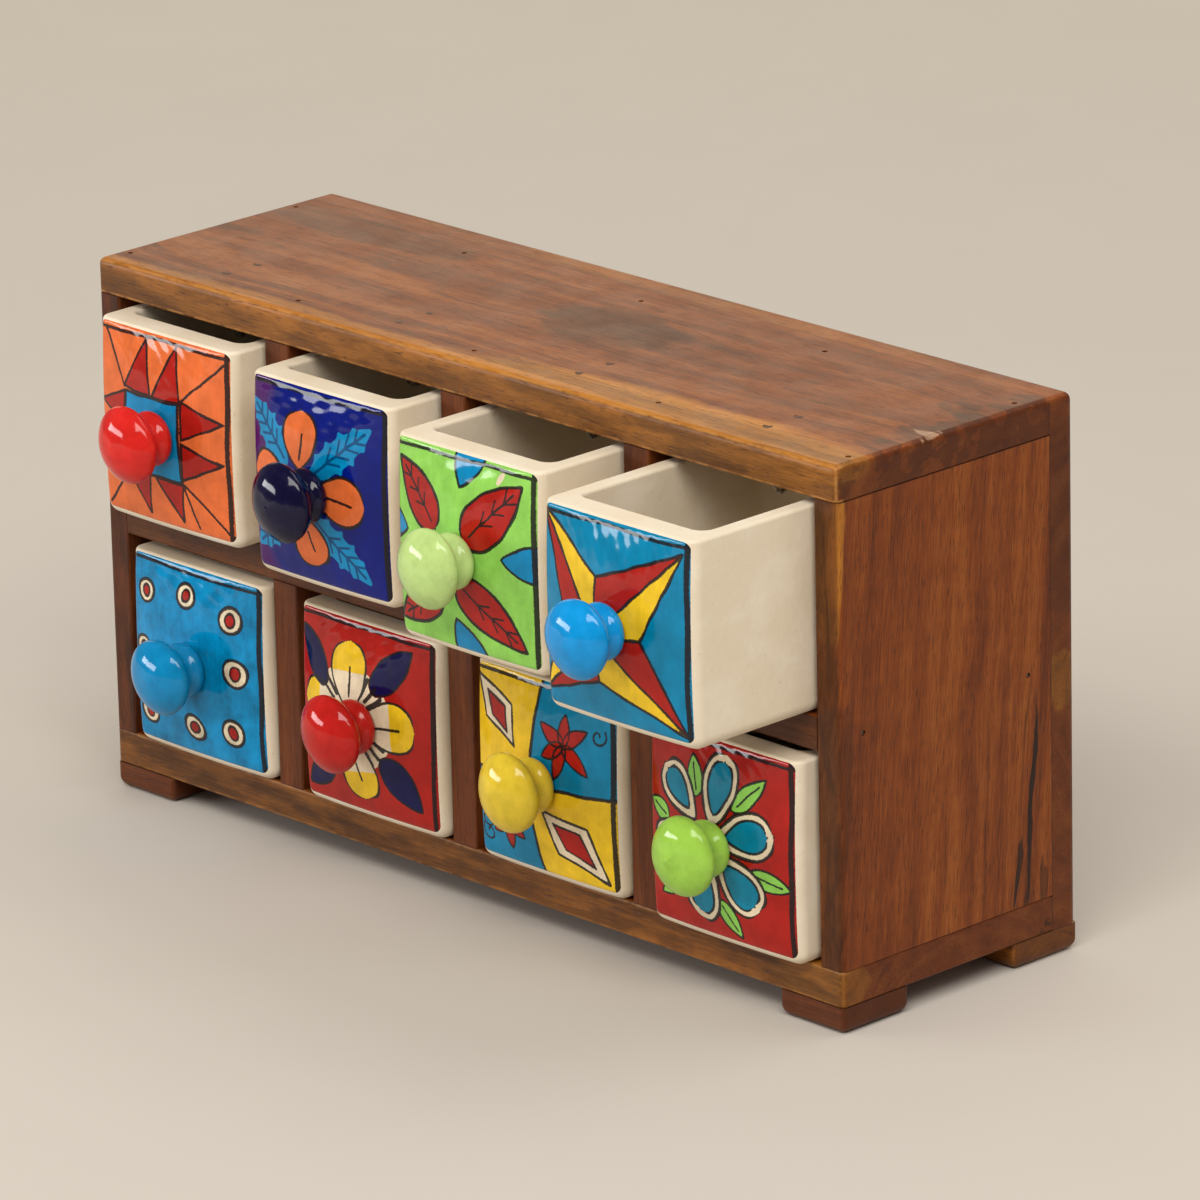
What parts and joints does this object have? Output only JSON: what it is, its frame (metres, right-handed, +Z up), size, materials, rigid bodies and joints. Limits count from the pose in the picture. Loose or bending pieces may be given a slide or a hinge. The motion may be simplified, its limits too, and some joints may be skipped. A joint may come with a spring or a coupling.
{
  "type": "chest of drawers",
  "caption": "Tabletop wooden chest of sliding ceramic drawers in two rows, with painted crowned fronts, mushroom knobs, wire drawer stops and block feet.",
  "frame": {"origin": "floor level, under the middle of the box round the chest with its drawers as they stand at rest", "axes": "+X along the width to the right, seen from the front; +Y towards the back; +Z up"},
  "size_m": [0.33, 0.1738, 0.1787],
  "materials": {
    "carcass_wood": "satin varnish",
    "foot_wood": "dark satin varnish",
    "drawer_ceramic": "unglazed",
    "painted_glaze": "painted under gloss glaze",
    "red_glaze": "gloss glaze",
    "navy_glaze": "gloss glaze",
    "light_green_glaze": "gloss glaze",
    "blue_glaze": "gloss glaze",
    "yellow_glaze": "gloss glaze",
    "lime_glaze": "gloss glaze",
    "stop_wire": "dull wire",
    "steel_hardware": "zinc plated"
  },
  "bodies": {
    "carcass": {"top_board": "carcass_wood", "bottom_board": "carcass_wood", "left_side": "carcass_wood", "right_side": "carcass_wood", "back_panel": "carcass_wood", "middle_shelf": "carcass_wood", "upper_divider_1": "carcass_wood", "upper_divider_2": "carcass_wood", "upper_divider_3": "carcass_wood", "lower_divider_1": "carcass_wood", "lower_divider_2": "carcass_wood", "lower_divider_3": "carcass_wood", "front_left_foot": "foot_wood", "front_right_foot": "foot_wood", "rear_left_foot": "foot_wood", "rear_right_foot": "foot_wood", "drawer_stops": "stop_wire", "panel_brads": "steel_hardware"},
    "drawer_1": {"drawer_1_box": "drawer_ceramic", "drawer_1_knob": "red_glaze", "drawer_1_stud": "steel_hardware", "drawer_1_washer": "steel_hardware", "drawer_1_nut": "steel_hardware"},
    "drawer_2": {"drawer_2_box": "drawer_ceramic", "drawer_2_knob": "navy_glaze", "drawer_2_stud": "steel_hardware", "drawer_2_washer": "steel_hardware", "drawer_2_nut": "steel_hardware"},
    "drawer_3": {"drawer_3_box": "drawer_ceramic", "drawer_3_knob": "light_green_glaze", "drawer_3_stud": "steel_hardware", "drawer_3_washer": "steel_hardware", "drawer_3_nut": "steel_hardware"},
    "drawer_4": {"drawer_4_box": "drawer_ceramic", "drawer_4_knob": "blue_glaze", "drawer_4_stud": "steel_hardware", "drawer_4_washer": "steel_hardware", "drawer_4_nut": "steel_hardware"},
    "drawer_5": {"drawer_5_box": "drawer_ceramic", "drawer_5_knob": "blue_glaze", "drawer_5_stud": "steel_hardware", "drawer_5_washer": "steel_hardware", "drawer_5_nut": "steel_hardware"},
    "drawer_6": {"drawer_6_box": "drawer_ceramic", "drawer_6_knob": "red_glaze", "drawer_6_stud": "steel_hardware", "drawer_6_washer": "steel_hardware", "drawer_6_nut": "steel_hardware"},
    "drawer_7": {"drawer_7_box": "drawer_ceramic", "drawer_7_knob": "yellow_glaze", "drawer_7_stud": "steel_hardware", "drawer_7_washer": "steel_hardware", "drawer_7_nut": "steel_hardware"},
    "drawer_8": {"drawer_8_box": "drawer_ceramic", "drawer_8_knob": "lime_glaze", "drawer_8_stud": "steel_hardware", "drawer_8_washer": "steel_hardware", "drawer_8_nut": "steel_hardware"}
  },
  "joints": [
    {"name": "drawer_1_slide", "type": "slide", "parent": "carcass", "child": "drawer_1", "axis": [0, -1, 0], "range_m": [-0.0089, 0.0497]},
    {"name": "drawer_2_slide", "type": "slide", "parent": "carcass", "child": "drawer_2", "axis": [0, -1, 0], "range_m": [-0.016, 0.0426]},
    {"name": "drawer_3_slide", "type": "slide", "parent": "carcass", "child": "drawer_3", "axis": [0, -1, 0], "range_m": [-0.0295, 0.0291]},
    {"name": "drawer_4_slide", "type": "slide", "parent": "carcass", "child": "drawer_4", "axis": [0, -1, 0], "range_m": [-0.045, 0.0136]},
    {"name": "drawer_5_slide", "type": "slide", "parent": "carcass", "child": "drawer_5", "axis": [0, -1, 0], "range_m": [-0.0002, 0.0584]},
    {"name": "drawer_6_slide", "type": "slide", "parent": "carcass", "child": "drawer_6", "axis": [0, -1, 0], "range_m": [-0.0006, 0.058]},
    {"name": "drawer_7_slide", "type": "slide", "parent": "carcass", "child": "drawer_7", "axis": [0, -1, 0], "range_m": [-0.0003, 0.0583]},
    {"name": "drawer_8_slide", "type": "slide", "parent": "carcass", "child": "drawer_8", "axis": [0, -1, 0], "range_m": [-0.0035, 0.0551]}
  ]
}
